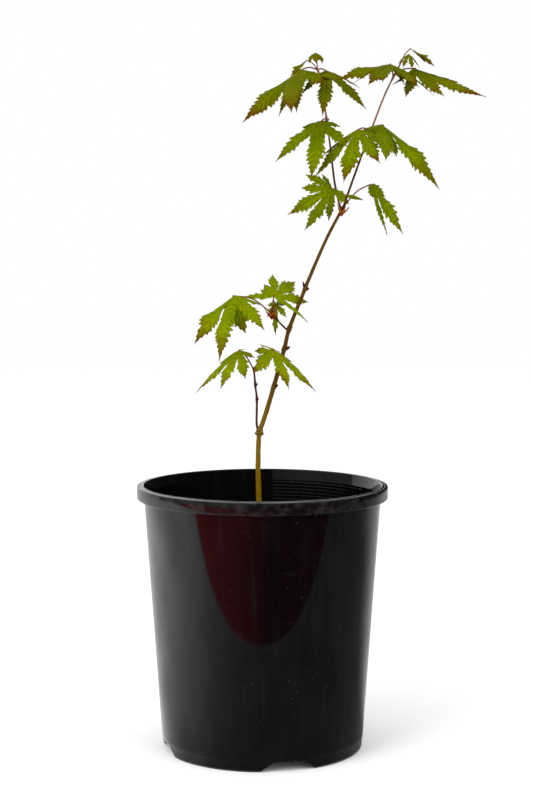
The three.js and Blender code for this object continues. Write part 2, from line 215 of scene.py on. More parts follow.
# The leaves turn from a fresh green at the bottom to a browner olive at the top: up to what
# height each tier goes, its colour, the colour of its veins and how far its edges have turned.
TIERS = {
    "low": (340, srgb(134, 146, 0), srgb(178, 182, 0), 1.1),
    "middle": (400, srgb(122, 138, 0), srgb(168, 172, 0), 1.0),
    "fork": (510, srgb(112, 128, 0), srgb(156, 160, 0), 1.1),
    "top": (560, srgb(102, 108, 0), srgb(140, 140, 0), 1.25),
}
TURNED = {GREEN: (srgb(104, 80, 0), 0.75), TINTED: (srgb(98, 64, 0), 1.1)}


def leaf_pair(slot, tier):
    """The finish of a leaf's upper side, and the duller one of its underside."""
    _, leaf, vein, turned = TIERS[tier]
    edge, redness = TURNED[slot]
    name = f"{slot}_{tier}"
    dull = scaled(leaf, 0.8, 0.9, 1.0)
    front = leaf_finish(name, leaf, vein, edge, redness * turned)
    return front, leaf_finish(name + "_back", dull, vein, edge, redness * turned * 0.7, True)


def scale_finish():
    """The narrow scales round a bud: dark red at the foot, turning ochre towards the tip."""
    paint = Paint("bud_scale", Specular_IOR_Level=0.15)
    along = paint.axis("X", paint.uv("LeafMap"))
    speckle = paint.noise(900, 2)
    tone = paint.blend(along.between(0.15, 0.75), srgb(126, 14, 2), srgb(150, 104, 14))
    tone = paint.blend(speckle.between(0.4, 0.75) * 0.4, tone, srgb(70, 12, 4))
    paint.set(Base_Color=tone, Roughness=0.45 + speckle * 0.15)
    paint.set(Normal=paint.bump(speckle, 0.0001, 0.4))
    return paint.material


def tier_at(height):
    """The tier that a leaf's joint is in, from its height in millimetres."""
    return next(name for name, (top, *_) in TIERS.items() if height < top)


def bark_finish(name, low, high, low_at, high_at, roughness=0.5):
    """Smooth young bark that changes colour up the stem, with pale specks and fine streaks."""
    paint = Paint(name, Specular_IOR_Level=0.1)
    tone = paint.blend(paint.axis("Z").between(low_at * MM, high_at * MM), low, high)
    streak = paint.noise(1, 3, stretch=(1500, 1500, 120))
    tone = paint.blend(streak.between(0.4, 0.75) * 0.45, tone, scaled(low, 0.45))
    speck = paint.noise(1, 1, stretch=(900, 900, 600)).between(0.68, 0.76)
    tone = paint.blend(speck * 0.35, tone, srgb(170, 134, 70))
    paint.set(Base_Color=tone, Roughness=roughness + streak * 0.2)
    paint.set(Normal=paint.bump(streak * 0.6 + speck * 0.5, 0.00025, 0.7))
    return paint.material


def plastic_finish():
    """Black moulded plastic: faint drawn streaks down the wall, a patchy film, dust and scuffs."""
    paint = Paint("pot_plastic", Specular_IOR_Level=0.36, Coat_Roughness=0.06, Coat_IOR=1.45)
    streak = paint.noise(1, 2, stretch=(160, 160, 3))
    cloud = paint.noise(22, 4)
    film = paint.noise(1, 5, stretch=(26, 26, 15)).between(0.36, 0.66)
    dust = paint.noise(560, 2).between(0.725, 0.775)
    scuff = paint.noise(1, 4, stretch=(60, 60, 260)).between(0.62, 0.8)
    # the rim's band is handled most, and is rubbed and chalky
    worn = paint.axis("Z").between(0.2012, 0.2018) * paint.reach().between(0.0962, 0.0975)
    mottle = paint.noise(1, 4, stretch=(150, 150, 220)).between(0.38, 0.72)
    tone = paint.blend(cloud.between(0.35, 0.8) * 0.5, srgb(3, 3, 4), srgb(7, 7, 8))
    tone = paint.blend(streak.between(0.5, 0.8) * 0.02, tone, srgb(90, 92, 96))
    tone = paint.blend(worn * (0.05 + mottle * 0.4), tone, srgb(48, 45, 46))
    tone = paint.blend(dust * 0.28 + scuff * 0.025, tone, srgb(110, 106, 100))
    rough = 0.045 + cloud * 0.03 + streak * 0.02 + dust * 0.2 + worn * (0.05 + mottle * 0.2)
    paint.set(Base_Color=tone, Roughness=rough, Coat_Weight=film * 0.36)
    paint.set(Normal=paint.bump(streak * 0.3 + cloud * 0.5, 0.0002, 0.3))
    return paint.material


def soil_finish(name, dark, light, pale):
    """Crumbs and fibres: dark between them, partly their own colour and partly painted shade in the
    hollows, light on them, and pale in patches.
    """
    paint = Paint(name, Specular_IOR_Level=0.2)
    crumb = paint.noise(380, 5)
    patch = paint.noise(170, 2)
    grain = paint.noise(1, 3, stretch=(300, 1800, 900))
    # partly painted shade: the noise that raises the crumbs in the bump also darkens the hollows
    # between them
    tone = paint.blend(crumb.between(0.35, 0.7), dark, light)
    tone = paint.blend(patch.between(0.5, 0.68) * 0.75, tone, pale)
    tone = paint.blend(1 - patch.between(0.34, 0.46), tone, scaled(dark, 0.4))
    tone = paint.blend(grain.between(0.55, 0.8) * 0.5, tone, scaled(dark, 0.4))
    paint.set(Base_Color=tone, Roughness=0.8 + crumb * 0.2)
    paint.set(Normal=paint.bump(crumb + grain * 0.5, 0.0012, 0.9))
    return paint.material


# ------------------------------------------------------------------ modelling helpers
def select_only(*pieces):
    """Selects these pieces and nothing else, the first of them active."""
    bpy.ops.object.select_all(action="DESELECT")
    for piece in pieces:
        piece.select_set(True)
    bpy.context.view_layer.objects.active = pieces[0]


def sheet(name, rows, cols):
    """A grid to be shaped: returns its object, and each vertex's row and column from 0 to 1."""
    bpy.ops.object.select_all(action="DESELECT")
    bpy.ops.mesh.primitive_grid_add(x_subdivisions=cols, y_subdivisions=rows, size=2)
    piece = bpy.context.object
    piece.name = name
    flat = np.empty(len(piece.data.vertices) * 3)
    piece.data.vertices.foreach_get("co", flat)
    flat = flat.reshape(-1, 3)
    return piece, (flat[:, 1] + 1) / 2, (flat[:, 0] + 1) / 2


def shape(piece, points):
    """Puts a sheet's vertices at points, given in millimetres."""
    piece.data.vertices.foreach_set("co", (np.asarray(points) * MM).ravel())
    piece.data.update()


def merge(piece, distance=0.002):
    """Closes seams and poles: vertices nearer than distance, in millimetres, become one."""
    select_only(piece)
    bpy.ops.object.mode_set(mode="EDIT")
    bpy.ops.mesh.select_all(action="SELECT")
    bpy.ops.mesh.remove_doubles(threshold=distance * MM)
    bpy.ops.object.mode_set(mode="OBJECT")


def join(pieces, name):
    select_only(*pieces)
    bpy.ops.object.join()
    pieces[0].name = name
    pieces[0].data.name = name
    return pieces[0]


def modifier(piece, kind, **settings):
    """Adds a modifier and applies it."""
    select_only(piece)
    made = piece.modifiers.new(kind.title(), kind)
    for key, value in settings.items():
        setattr(made, key, value)
    bpy.ops.object.modifier_apply(modifier=made.name)


def finish(piece, materials, *nodes, slot):
    """Smooths the piece, gives it its materials and puts it in place of CAD nodes."""
    piece.data.materials.clear()
    for material in materials:
        piece.data.materials.append(material)
    select_only(piece)
    bpy.ops.object.shade_smooth_by_angle(angle=math.radians(SMOOTH_UP_TO))
    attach(piece, "root")
    if nodes:
        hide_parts(*nodes)


def smoothstep(low, high, value):
    t = np.clip((value - low) / (high - low), 0, 1)
    return t * t * (3 - 2 * t)


def hump(value, middle, reach):
    """1 at the middle, fading on both sides."""
    return np.exp(-(((value - middle) / reach) ** 2))


def curve_through(points, count):
    """count points along a smooth centripetal curve through points, evenly spaced."""
    knots = np.asarray(points, float)
    ends = np.vstack([2 * knots[0] - knots[1], knots, 2 * knots[-1] - knots[-2]])
    dense = []
    for a, b, c, d in zip(ends, ends[1:], ends[2:], ends[3:]):
        for t in np.linspace(0, 1, 16, endpoint=False):
            dense.append(0.5 * (2 * b + (c - a) * t + (2 * a - 5 * b + 4 * c - d) * t**2
                                + (3 * b - a - 3 * c + d) * t**3))
    dense = np.array(dense + [knots[-1]])
    run = np.concatenate([[0], np.cumsum(np.linalg.norm(np.diff(dense, axis=0), axis=1))])
    at = np.linspace(0, run[-1], count)
    return np.stack([np.interp(at, run, dense[:, k]) for k in range(3)], 1)


def tube(name, points, radius, cols=16, relief=None):
    """A closed limb round points. radius(t) and relief(t, turn) are in millimetres."""
    rows = len(points) + 3      # two more rings at each end close it
    tangent = np.gradient(points, axis=0)
    tangent /= np.linalg.norm(tangent, axis=1)[:, None]
    side = [np.cross(tangent[0], (0.0, 1.0, 0.0))]
    for t in tangent[1:]:
        side.append(side[-1] - t * np.dot(side[-1], t))
    side = np.array([s / np.linalg.norm(s) for s in side])
    other = np.cross(tangent, side)
    piece, row, col = sheet(name, rows, cols)
    step = np.rint(row * rows).astype(int)
    ring = np.clip(step - 2, 0, len(points) - 1)
    share = ring / (len(points) - 1)
    turn = col * 2 * np.pi
    size = radius(share) + (relief(share, turn) if relief else 0)
    size = size * np.where((step == 1) | (step == rows - 1), 0.7, 1.0)
    size = size * np.where((step == 0) | (step == rows), 0.0, 1.0)
    around = side[ring] * np.cos(turn)[:, None] + other[ring] * np.sin(turn)[:, None]
    shape(piece, points[ring] + around * size[:, None])
    merge(piece)
    return piece


# ------------------------------------------------------------------ leaves
# These follow the CAD leaves: where the stalk leaves the stem, the joint of stalk and blade,
# then heading, pitch and roll, length, cone and bend of the droop, spread of the fan, each
# lobe's reach where it isn't 1, and the slot. Lobe 0 is the middle one, and 3 the last at the left.
LEAVES = {
    "leaf_low_left": ((-7.1, -2, 304.4), (-18, -4, 319), (185, -24, -16), 45, (13, 16), 0.95,
                      {-3: 0.5, -2: 0.5, -1: 0.62, 0: 1.1, 1: 0.9, 2: 0.95, 3: 0.85}, GREEN),
    "leaf_low_right": ((-7, -2, 304.4), (8, -10, 320), (-12, -27, 10), 48, (9, 15), 1.05,
                       {-3: 0.8, -2: 1.1, -1: 0.95, 1: 0.5, 2: 0.5}, TINTED),
    "leaf_middle_left": ((7.2, -1.4, 348.6), (-22, -15, 363), (249, -10, 12), 58, (23, 17), 1.1,
                         {-3: 1.3, -2: 0.9, -1: 0.93, 0: 1.3, 1: 0.95, 2: 0.5, 3: 0.5}, TINTED),
    "leaf_middle_star": ((7.4, -1.4, 348.8), (9, -6, 362), (84, 46, 26), 54, (4, 17), 0.8,
                         {-3: 1.55, -2: 0.85, -1: 0.73, 0: 0.55, 1: 0.3, 2: 0.3, 3: 1.05}, GREEN),
    "leaf_middle_hanging": ((7.6, -1.2, 348.6), (10.5, 3, 356), (-112, -72, 14), 21, (5, 17), 1.05,
                            {-3: 0.6, -2: 0.6, -1: 0.7, 0: 1.2, 1: 0.75, 2: 0.6, 3: 0.6}, GREEN),
    "leaf_fork_left": ((61.6, -0.2, 432.5), (54, -10, 447), (208, -37, -88), 45, (31, 20), 0.88,
                       {-3: 0.82, -2: 0.7, -1: 0.58, 0: 0.95, 1: 1.05, 2: 1.03, 3: 1.3}, GREEN),
    "leaf_fork_right": ((64.6, 2, 433.5), (85.4, 4, 450), (-14, -50, 56), 46, (4, 14), 0.38,
                        {-3: 0.3, -2: 0.3, -1: 0.98, 0: 1.03, 1: 0.35, 2: 0.3, 3: 0.3}, GREEN),
    "leaf_left_middle": ((50.2, -1.6, 501), (45, -8, 498), (259, -34, 1), 48, (13, 16), 1.2,
                         {-3: 0.35, -2: 0.45, -1: 1.05, 0: 1.15, 1: 0.72, 2: 0.45, 3: 0.5}, GREEN),
    "leaf_right_middle_front": ((84.5, 1.4, 491), (74, -14, 492), (249, -22, 4), 50, (21, 17), 1,
                                {-1: 1.1, 0: 1.08, 1: 0.86, 2: 0.77}, TINTED),
    "leaf_right_middle_back": ((84.7, 1.6, 491), (94, 6, 497), (8, -17, 2), 64, (21, 17), 1.05,
                               {-3: 0.73, -2: 1.2, -1: 1.1, 0: 1.1, 1: 0.65, 2: 0.7}, GREEN),
    "leaf_left_top_outer": ((43, 0, 539.5), (30, -5, 539), (204, -10, 8), 62, (22, 18), 1.2,
                            {-3: 0.8, -2: 1.1, -1: 0.7, 0: 1.08, 1: 1.28, 2: 0.67}, TINTED),
    "leaf_left_top_inner": ((43.2, 0, 539.5), (50, 4, 539), (-46, -10, 11), 52, (21, 15), 1.1,
                            {-2: 0.75, -1: 1.14, 1: 0.62, 2: 0.6, 3: 0.7}, GREEN),
    "leaf_right_top_front": ((102.5, 0.4, 534.4), (100, -6, 543), (255, 9, -6), 54, (19, 19), 1.2,
                             {-2: 0.8, -1: 0.95, 0: 1.2, 1: 0.9}, TINTED),
    "leaf_right_top_back": ((102.6, 0.6, 534.4), (119, 6, 541), (-23, 2, 13), 56, (28, -8), 1,
                            {-2: 0.95, -1: 0.9, 0: 1.13, 1: 0.8}, TINTED),
    "leaf_left_tip_cap": ((43.1, 0, 540), (41.6, -2, 552), (-90, 6, 0), 12.5, (14, 84), 1.3, {}, GREEN),
    "leaf_left_tip_fold": ((43, 0.2, 540), (34.5, 4, 547), (195, -28, 0), 18, (8, 16), 0.4, {}, GREEN),
    "leaf_right_tip_fold": ((107.5, 0.2, 543.2), (116, 3, 556), (-4, -18, 0), 19.5, (10, 16), 0.42,
                            {-2: 1.2, -1: 1.2, 0: 1.23, 1: 1.2, 2: 1.2}, TINTED),
    "leaf_right_tip_cap": ((107.5, -0.2, 543.2), (114.2, -4, 551), (-70, -12, 0), 15, (32, 25), 1.1,
                           {}, GREEN),
}
# What single lobes do besides, in degrees: hang droops one further, and face turns its upper side
# to the front. wide is how many times its width it gets.
LOBES_OWN = {
    "leaf_middle_left": {-3: dict(hang=62, wide=2.0), -1: dict(wide=1.25, face=20), 0: dict(wide=0.74),
                         1: dict(wide=0.76)},
    "leaf_middle_star": {-3: dict(wide=0.4), 0: dict(wide=0.8)},
    "leaf_left_top_outer": {0: dict(face=36, wide=0.46), 1: dict(wide=0.55), 2: dict(face=25, wide=0.8),
                            -1: dict(hang=18, wide=0.6), -2: dict(wide=0.7)},
    "leaf_low_right": {-3: dict(face=45, wide=1.2), -2: dict(face=20)},
    "leaf_right_top_front": {-1: dict(face=48, wide=0.7), 0: dict(face=20, wide=0.8),
                             -2: dict(face=30)},
    "leaf_right_top_back": {-1: dict(face=25, wide=0.9), 0: dict(face=28, wide=0.78)},
    "leaf_fork_right": {-1: dict(wide=0.3, hang=9), 0: dict(wide=0.82)},
    "leaf_fork_left": {3: dict(hang=-24, wide=1.5)},
    "leaf_right_middle_back": {0: dict(face=50, wide=1.05), -1: dict(face=30, wide=0.75)},
    "leaf_left_tip_fold": {0: dict(face=45, wide=1.3)},
    "leaf_right_tip_fold": {0: dict(face=45, wide=1.3)},
    "leaf_left_tip_cap": {k: dict(wide=2.2) for k in range(-2, 3)},
}
LOBE_ANGLE = (0, 42, 84, 128)
LOBE_LENGTH = (1, 0.95, 0.78, 0.42)
YOUNG = 20          # a leaf shorter than this has only the middle five lobes
SMALL = 30          # and one shorter than this is thinner, with a thinner stalk
LOBE_WIDTH = 0.175  # half the greatest width, over the lobe's length
WIDEST_AT = 0.42    # from the sinus (0) to the tip (1)
SINUS = 0.25        # how far out two lobes part, over their mean length
# Leaves whose lobes part further out, and leaves with narrower ones.
WEBBED = {"leaf_left_top_outer": 0.36, "leaf_left_middle": 0.3, "leaf_right_top_front": 0.32}
SLENDER = {"leaf_left_top_outer": 0.66, "leaf_left_top_inner": 0.74, "leaf_right_top_front": 0.82,
           "leaf_right_top_back": 0.74, "leaf_left_middle": 0.92, "leaf_fork_left": 0.85}
TAIL = 0.42         # mm, half the width of a lobe's drawn-out end
VEIN_SLANT = 0.9    # how far forward the side veins run, over the half width
TOOTH_PITCH = 4.3   # mm from tooth to tooth
TOOTH_TIP = 0.8     # where in its length a tooth is widest: it points forward
PALM_ROWS, TOOTH_ROWS, LEAF_COLS = 9, 6, 12
BLADE_THICKNESS = 0.28
STALK_RADIUS = 0.55
BAKE_STRIPS = 14    # the bake map has one strip for each lobe's front and one for its back


def leaf_frame(heading, pitch, roll):
    """The leaf's own directions: f along its middle lobe, l to the left, u out of its face."""
    h, p, r = (math.radians(a) for a in (heading, pitch, roll))
    f = np.array([math.cos(h) * math.cos(p), math.sin(h) * math.cos(p), math.sin(p)])
    level = np.array([-math.sin(h), math.cos(h), 0.0])
    upright = np.cross(f, level)
    return f, level * math.cos(r) + upright * math.sin(r), upright * math.cos(r) - level * math.sin(r)


class Lobe:
    """One lobe of a leaf, as the CAD lays it out: its midrib droops along an arc."""

    def __init__(self, spec, number, slender, parting, hang=0, wide=1, face=0):
        _, joint, turns, length, (cone, bend), spread, reach, _ = spec
        f, l, self.u = leaf_frame(*turns)
        self.joint = np.array(joint, float)
        self.angle = math.radians(math.copysign(LOBE_ANGLE[abs(number)], number) * spread)
        self.length = length * LOBE_LENGTH[abs(number)] * reach.get(number, 1)
        self.width = LOBE_WIDTH * slender * wide * self.length / math.sqrt(reach.get(number, 1))
        self.parting = parting
        self.teeth = min(max(round(0.8 * self.length / TOOTH_PITCH), 4), 13)
        self.along = f * math.cos(self.angle) + l * math.sin(self.angle)
        self.across = l * math.cos(self.angle) - f * math.sin(self.angle)
        self.cone = math.radians(cone + hang)
        self.face = math.radians(face) * math.copysign(1, self.across[1])
        self.bend = math.radians(bend)

    def facing(self, x):
        """How far the blade has turned to the front, x mm along the midrib."""
        return self.face * smoothstep(0.15, 0.6, x / self.length)

    def place(self, x, y):
        """Flat places, x mm along the midrib and y mm to its left, on the drooping blade."""
        s = x / self.length
        out = self.length * (np.sin(self.cone + self.bend * s) - math.sin(self.cone)) / self.bend
        down = self.length * (math.cos(self.cone) - np.cos(self.cone + self.bend * s)) / self.bend
        turn = self.facing(x)
        side = np.outer(np.cos(turn), self.across) + self.flat_normal(x) * np.sin(turn)[:, None]
        return self.joint + np.outer(out, self.along) - np.outer(down, self.u) + side * y[:, None]

    def flat_normal(self, x):
        droop = self.cone + self.bend * x / self.length
        return np.outer(np.cos(droop), self.u) + np.outer(np.sin(droop), self.along)

    def normal(self, x):
        turn = self.facing(x)
        return self.flat_normal(x) * np.cos(turn)[:, None] - np.outer(np.sin(turn), self.across)

    def sinus(self, other):
        """Where this lobe parts from its neighbour: along the midrib, and to the side."""
        half, radius = math.radians(28), 0.12 * self.length
        if other:
            half = abs(other.angle - self.angle) / 2
            radius = self.parting * (self.length + other.length) / 2
        return min(radius * math.cos(half), 0.55 * self.length), radius * math.sin(half)


def tooth(row, teeth, rng):
    """Uneven, forward-pointing teeth, each with a smaller one on its back. row counts the rows
    of the grid beyond the sinus. Returns each row's share of the edge's length, and how deep
    the edge is notched there."""
    pitch = rng.uniform(0.55, 1.45, teeth) * np.linspace(1.15, 0.85, teeth)
    ends = np.concatenate([[0], np.cumsum(pitch) / pitch.sum()])
    number = np.clip((row / TOOTH_ROWS).astype(int), 0, teeth - 1)
    phase = row / TOOTH_ROWS - number
    large = np.where(phase < TOOTH_TIP, 1 - phase / TOOTH_TIP, (phase - TOOTH_TIP) / (1 - TOOTH_TIP))
    small = np.where(np.rint(phase * TOOTH_ROWS) == 2, 0.22, 0)
    deep = rng.uniform(0.5, 1.0, teeth) * np.clip(pitch, 0.7, 1.4)
    return ends[number] + (ends[number + 1] - ends[number]) * phase, large * deep[number] + small


def lobe_width(g, half, widest):
    """Half the width beyond the sinus: it swells, then narrows to a long drawn-out tip."""
    swell = half + (widest - half) * smoothstep(0, WIDEST_AT, g)
    h = np.clip((g - WIDEST_AT) / (1 - WIDEST_AT), 0, 1)
    tail = TAIL * np.clip((1 - h) / 0.12, 0, 1)
    return np.where(g < WIDEST_AT, swell, np.maximum(widest * (1 - h) ** 1.7 * (1 + 1.1 * h), tail))


def lobe_sheet(name, lobes, index, rng):
    """The grid of one lobe, its rows along the side veins, joined to its neighbours' edges."""
    me = lobes[index]
    free_rows = me.teeth * TOOTH_ROWS
    rows = PALM_ROWS + free_rows
    piece, row, col = sheet(name, rows, LEAF_COLS)
    step = np.rint(row * rows)
    c = 1 - 2 * col
    away = abs(c)
    free = np.clip((step - PALM_ROWS) / free_rows, 0, 1)
    palm = np.clip(step / PALM_ROWS, 0, 1)
    sides = {}
    for side, other in ((1, index + 1), (-1, index - 1)):
        other = lobes[other] if 0 <= other < len(lobes) else None
        start, half = me.sinus(other)
        widest = max(me.width, half * 1.04)
        share, notch = tooth(np.clip(step - PALM_ROWS, 0, free_rows), me.teeth, rng)
        width = np.where(free > 0, lobe_width(share, half, widest), palm * half)
        edge = np.where(free > 0, start + (me.length - start) * share, palm * start)
        notch = notch * smoothstep(0.06, 0.3, share) * (0.55 - 0.15 * share)
        sides[side] = (other, start, half, width, edge, notch)
    rib = sum(np.where(free > 0, edge - VEIN_SLANT * width, palm * (start - VEIN_SLANT * half))
              for _, start, half, width, edge, _ in sides.values()) / 2
    left = c > 0
    width, edge, notch = (np.where(left, sides[1][k], sides[-1][k]) for k in (3, 4, 5))
    x = rib + (edge - rib) * away**1.15
    y = np.sign(c) * width * (away - notch * smoothstep(0.45, 1.0, away))
    pitch = np.where(left, *(me.length - sides[k][1] for k in (1, -1))) / me.teeth
    forward = (free * me.teeth % 1) * pitch * smoothstep(0.45, 1.0, away) * smoothstep(0.1, 0.34, free)
    x = x + 0.8 * forward * (1 - free)
    sway = rng.uniform(-0.035, 0.035) * me.length * smoothstep(0.2, 1.0, x / me.length) ** 2
    y = y + sway
    points = me.place(x, y)
    normal = me.normal(x)
    for side, (other, *_) in sides.items():
        if other is None:
            continue
        turn = me.angle - other.angle
        cos, sin = math.cos(turn), math.sin(turn)
        there = other.place(x * cos - y * sin, x * sin + y * cos)
        share = np.where(c * side > 0, 0.5 * away**2 * np.clip(1 - free / 0.35, 0, 1) ** 2, 0)
        points += (there - points) * share[:, None]
        normal += (other.normal(x) - normal) * share[:, None]
    # pleated along the midrib, arched across, and a little wavy and twisted towards the tip
    groove = -0.16 * hump(away, 0, 0.14) * (1 - 0.5 * free)
    arch = rng.uniform(-0.24, 0.04) * away**2
    wave = 0.05 * away**2 * np.sin(free * 17 + rng.uniform(0, 6.3)) * smoothstep(0, 0.2, free)
    twist = rng.uniform(-0.16, 0.16) * free * c
    points += normal * (width * (groove + arch + wave + twist))[:, None]
    shape(piece, points)
    along = (step - PALM_ROWS) / free_rows
    aside = (c + 1) / 2
    bake_strip = (index + 0.05 + 0.9 * aside) / BAKE_STRIPS
    maps(piece, {"LeafMap": np.stack([along, aside], 1),
                 "VeinMap": np.stack([(step - PALM_ROWS) / TOOTH_ROWS, aside], 1),
                 "OFBake": np.stack([row * 0.98 + 0.01, bake_strip], 1)})
    return piece


def maps(piece, layers):
    """Gives the sheet UV maps from values at its vertices."""
    mesh = piece.data
    corner = np.empty(len(mesh.loops), dtype=int)
    mesh.loops.foreach_get("vertex_index", corner)
    while mesh.uv_layers:
        mesh.uv_layers.remove(mesh.uv_layers[0])
    for name, values in layers.items():
        mesh.uv_layers.new(name=name).data.foreach_set("uv", values[corner].ravel())


def lower_strips(piece):
    """Moves the back faces' bake map to strips of their own, clear of the front's."""
    layer = piece.data.uv_layers["OFBake"].data
    for face in piece.data.polygons:
        if face.material_index == 1:
            for corner in face.loop_indices:
                layer[corner].uv.y += 0.5


def leaf(node, spec, looks, seed):
    """A blade of toothed lobes and its stalk, in place of one CAD leaf."""
    rng = np.random.default_rng(seed)
    _, joint, _, length, *_, slot = spec
    numbers = range(-2, 3) if length < YOUNG else range(-3, 4)
    own = LOBES_OWN.get(node, {})
    build = SLENDER.get(node, 1), WEBBED.get(node, SINUS)
    lobes = [Lobe(spec, number, *build, **own.get(number, {})) for number in numbers]
    strips = [lobe_sheet(f"{node}_lobe", lobes, k, rng) for k in range(len(lobes))]
    blade = join(strips, f"{node}_blade")
    merge(blade, 0.004)
    front, back = looks[slot, tier_at(joint[2])]
    blade.data.materials.append(front)
    blade.data.materials.append(back)
    thickness = BLADE_THICKNESS * (0.6 if length < SMALL else 1)
    modifier(blade, "SOLIDIFY", thickness=thickness * MM, offset=0, material_offset=1, use_rim=True)
    lower_strips(blade)
    sides = [face.material_index for face in blade.data.polygons]
    finish(blade, [front, back], node, slot=slot)
    blade.data.polygons.foreach_set("material_index", sides)
    stalk(node, spec, looks["stalk"])


def stalk(node, spec, material):
    """A leaf's stalk, swollen where it meets the stem and the blade."""
    start, joint, turns, length, *_ = spec
    f, _, u = leaf_frame(*turns)
    start, joint = np.array(start, float), np.array(joint, float)
    rise = (start + joint) / 2 + np.array([0, 0, np.linalg.norm(joint - start) * 0.12])
    points = curve_through([start, rise, joint - u * 0.3, joint + f * length * 0.035 - u * 0.45], 30)
    size = STALK_RADIUS * (0.75 if length < SMALL else 1)

    def radius(t):
        swollen = 1 + 0.5 * hump(t, 0, 0.08) + 0.35 * hump(t, 0.93, 0.06)
        return size * swollen * (1 - 0.5 * smoothstep(0.95, 1, t))

    piece = tube(f"{node}_stalk", points, radius, cols=10)
    finish(piece, [material], node, slot="red_bark")


# ------------------------------------------------------------------ stems
STEMS = {
    "trunk": dict(
        route=[(-2.4, 0, 177.3), (-2.9, 0, 200), (-3.5, 0, 228), (-2.6, 0.4, 252), (1.2, 0.8, 264),
               (9, 1.4, 290), (17.3, 1.8, 320), (21.2, 2, 336), (31.8, 2, 363), (37.2, 1.8, 376.5),
               (50.2, 1.4, 406.5), (62.4, 1, 430)],
        ends=(2.2, 1.15), flare=0.5, rings=520, slot="olive_bark",
        nodes=[(254, 1.1), (290, 0.35), (320, 0.45), (336, 0.6), (368, 0.45)]),
    "left_shoot": dict(
        route=[(62.2, 0.9, 427.5), (61.4, 0.6, 431), (59, 0, 441.7), (56.5, -0.6, 453.5),
               (52.6, -1.4, 484.7), (50.3, -1.6, 501), (46.3, -1, 527.5), (43.1, 0, 540)],
        ends=(0.85, 0.65), flare=0.3, rings=240, slot="red_bark", nodes=[(501, 0.35), (539, 0.35)]),
    "right_shoot": dict(
        route=[(61.8, 1, 427.5), (63.4, 1, 431), (67, 1, 441.7), (77.4, 1.4, 470.7), (85, 1.6, 491),
               (95.2, 1.2, 518), (103, 0.6, 534.4), (107.7, 0, 543.3)],
        ends=(0.9, 0.65), flare=0.3, rings=240, slot="red_bark", nodes=[(491, 0.35), (534, 0.35)]),
    "low_twig": dict(
        route=[(-3.2, 0.3, 254), (-4.6, 0.2, 261), (-4.5, 0, 280), (-5.6, -0.6, 290), (-6.3, -1.4, 299),
               (-7.1, -2, 304.6)],
        ends=(0.95, 0.7), flare=0, rings=140, slot="red_bark",
        nodes=[(280, 0.35), (292, 0.4), (304, 0.2)]),
    "middle_twig": dict(
        route=[(20, 1.8, 335), (16.6, 0.8, 338), (11, -0.6, 344), (7.4, -1.4, 348.3)],
        ends=(0.75, 0.7), flare=0, rings=60, slot="red_bark", nodes=[(348, 0.9)]),
}


def stem(node, spec, material):
    """A limb with swollen, ringed nodes and bark that isn't quite round or even."""
    points = curve_through(spec["route"], spec["rings"])
    first, last = spec["ends"]

    def height(t):
        return np.interp(t, np.linspace(0, 1, len(points)), points[:, 2])

    def radius(t):
        size = first + (last - first) * t + spec["flare"] * np.exp(-t * 30)
        for at, extra in spec["nodes"]:
            over = height(t) - at
            size = size + extra * hump(over, 0, 2.2)
            size = size + 0.12 * hump(over, 1.6, 0.35) - 0.1 * hump(over, 0.7, 0.4)
        return size

    def relief(t, turn):
        spots = [(math.cos(a), math.sin(a), h) for a, h in zip(turn, height(t))]
        bumps = np.array([noise.noise(Vector((x * 1.6, y * 1.6, h * 0.25))) for x, y, h in spots])
        ridges = np.array([noise.noise(Vector((x * 5, y * 5, h * 0.09 + 40))) for x, y, h in spots])
        return radius(t) * (bumps * 0.09 + ridges * 0.07)

    piece = tube(node + "_bark", points, radius, cols=24, relief=relief)
    finish(piece, [material], node, slot=spec["slot"])


# Buds on the stems, from the trunk to the low twig and the two shoots: where each sits, which
# way it points, its length and its greatest radius.
BUDS = [
    ((18.6, 1.3, 319.6), (0.75, -0.3, 0.6), 4.4, 1.2),
    ((9.8, 0.9, 289.6), (0.7, -0.4, 0.6), 3.8, 1.1),
    ((33.6, 1.6, 367.6), (-0.25, -0.3, 1), 6.6, 0.95),
    ((34.4, 1.4, 366.6), (0.8, -0.3, 0.6), 3.6, 0.9),
    ((-5.6, -0.9, 291.4), (0.8, -0.3, 0.5), 2.6, 0.75),
    ((-4.4, -0.2, 279.6), (0.7, -0.4, 0.6), 2.2, 0.7),
    ((-5.9, -1.6, 298.5), (-0.5, -0.5, 0.7), 2.0, 0.6),
    ((50.8, -2, 499.6), (0.7, -0.5, 0.7), 2.6, 0.75),
    ((84.3, 0.9, 490), (-0.8, -0.3, 0.6), 2.6, 0.75),
]
# Knobs are the old scars at a fork: where each sits and its radius.
KNOBS = [
    ((-4.6, -1.6, 253), 1.5), ((-1.2, -1.9, 254.4), 1.5), ((-2.9, -2.3, 256.4), 1.4),
    ((-0.4, -0.6, 252.6), 1.4), ((-3.6, 2.0, 254), 1.5), ((-1.0, -1.0, 258.4), 1.1),
    ((21.6, -0.2, 336.4), 1.2), ((19.8, 0.8, 334.4), 1.0), ((23, 1, 337.6), 1.0),
]
SCALE_THICKNESS = 0.22
GOLDEN_TURN = 2.4   # radians
# Sprays of narrow red scales: where each starts, the way it fans, how many scales, and how long.
SPRAYS = [
    ((7.4, -3.0, 344.6), (0.0, -0.2, 1.0), 16, 10),
    ((61.9, 0.6, 426.0), (0.25, -0.3, 1.0), 13, 10),
]


def bud(start, aim, length, radius, material):
    """A pointed bud of three overlapping scale rings."""
    start, aim = np.array(start, float), np.array(aim, float)
    aim /= np.linalg.norm(aim)
    points = start + np.linspace(0, length, 22)[:, None] * aim

    def swell(t):
        body = np.sin(np.pi * np.clip(t * 0.86 + 0.12, 0, 1)) ** 0.8 + 0.02
        return radius * body * (1 + 0.1 * ((t * 3) % 1))

    finish(tube("bud", points, swell, cols=14), [material], slot="red_bark")


